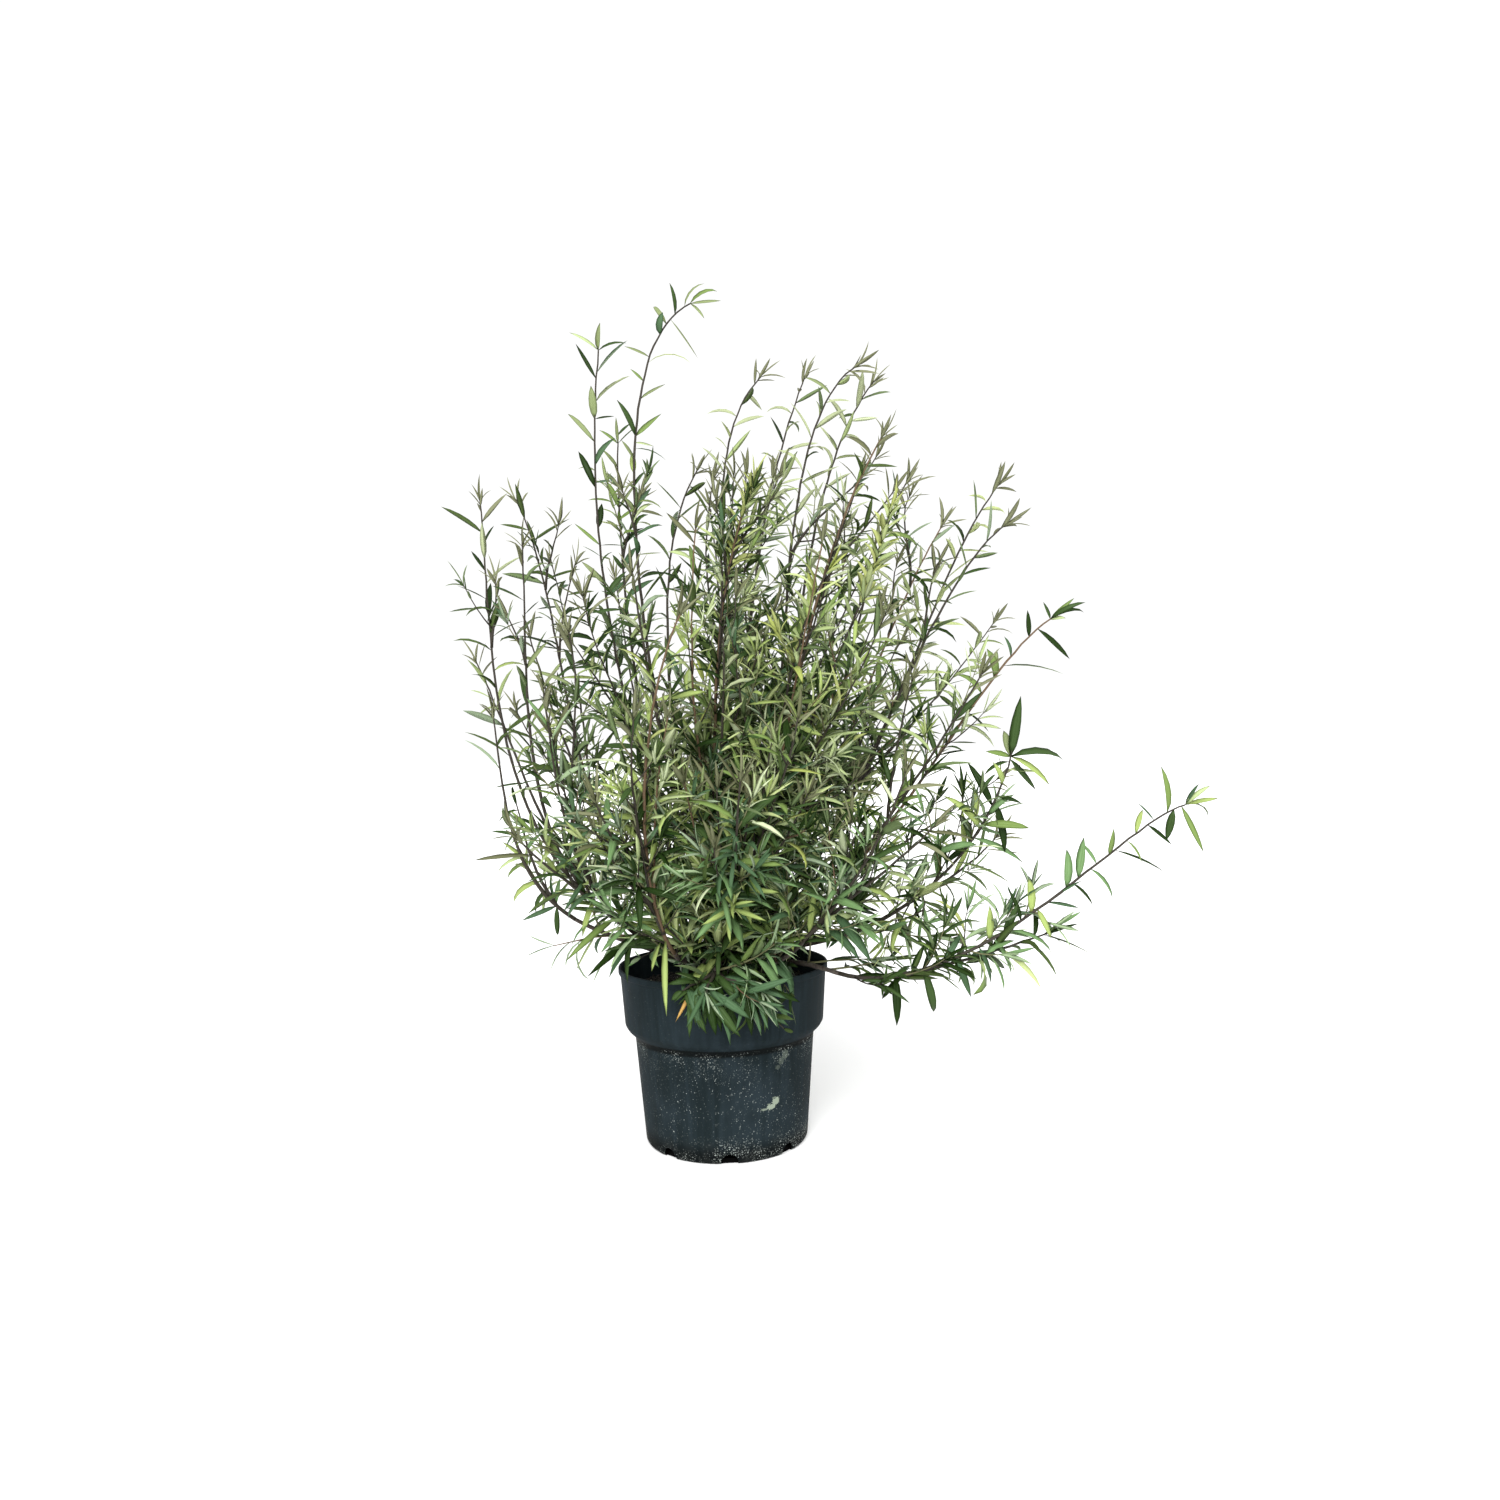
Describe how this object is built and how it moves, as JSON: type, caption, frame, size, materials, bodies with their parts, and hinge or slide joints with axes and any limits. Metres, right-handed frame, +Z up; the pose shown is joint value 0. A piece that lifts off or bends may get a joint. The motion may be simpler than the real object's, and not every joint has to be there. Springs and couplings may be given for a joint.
{
  "type": "potted dwarf willow",
  "caption": "Dwarf willow shrub with slender upright and arching shoots and narrow lance-shaped leaves, rooted in peat in a round black nursery container.",
  "frame": {"origin": "centre of the container's flat underside, on the surface that it stands on", "axes": "+Z is up, +X is the side that the long low shoot reaches out to, and -Y is the side that faces the viewer"},
  "size_m": [0.8124, 0.5992, 0.905],
  "materials": {
    "pot_plastic": "satin black polypropylene with faint draw marks, dust and lime specks",
    "peat_soil": "matte, moist, crumbly",
    "bark": "reddish brown young bark, greyer and rougher at the foot",
    "leaves": "soft green above and grey-green below, yellow-green at the tips"
  },
  "bodies": {
    "root": {"pot": "pot_plastic", "soil": "peat_soil", "stool": "bark", "bough_right_long": "bark", "bough_right_low": "bark", "bough_right_arch": "bark", "bough_right_outer": "bark", "bough_right_mid": "bark", "bough_right_tall": "bark", "bough_back_right": "bark", "bough_centre_tall": "bark", "bough_back_centre": "bark", "bough_back_low": "bark", "bough_back_left": "bark", "bough_left_tall": "bark", "bough_left_back": "bark", "bough_left_outer": "bark", "bough_left_low": "bark", "bough_mid_tall": "bark", "bough_left_front": "bark", "bough_front_left": "bark", "bough_front_centre": "bark", "bough_front_mid": "bark", "bough_front_low": "bark", "bough_front_right": "bark", "bough_right_front": "bark", "foliage_right_long": "leaves", "foliage_right_low": "leaves", "foliage_right_arch": "leaves", "foliage_right_outer": "leaves", "foliage_right_mid": "leaves", "foliage_right_tall": "leaves", "foliage_back_right": "leaves", "foliage_centre_tall": "leaves", "foliage_back_centre": "leaves", "foliage_back_low": "leaves", "foliage_back_left": "leaves", "foliage_left_tall": "leaves", "foliage_left_back": "leaves", "foliage_left_outer": "leaves", "foliage_left_low": "leaves", "foliage_mid_tall": "leaves", "foliage_left_front": "leaves", "foliage_front_left": "leaves", "foliage_front_centre": "leaves", "foliage_front_mid": "leaves", "foliage_front_low": "leaves", "foliage_front_right": "leaves", "foliage_right_front": "leaves"}
  },
  "joints": []
}
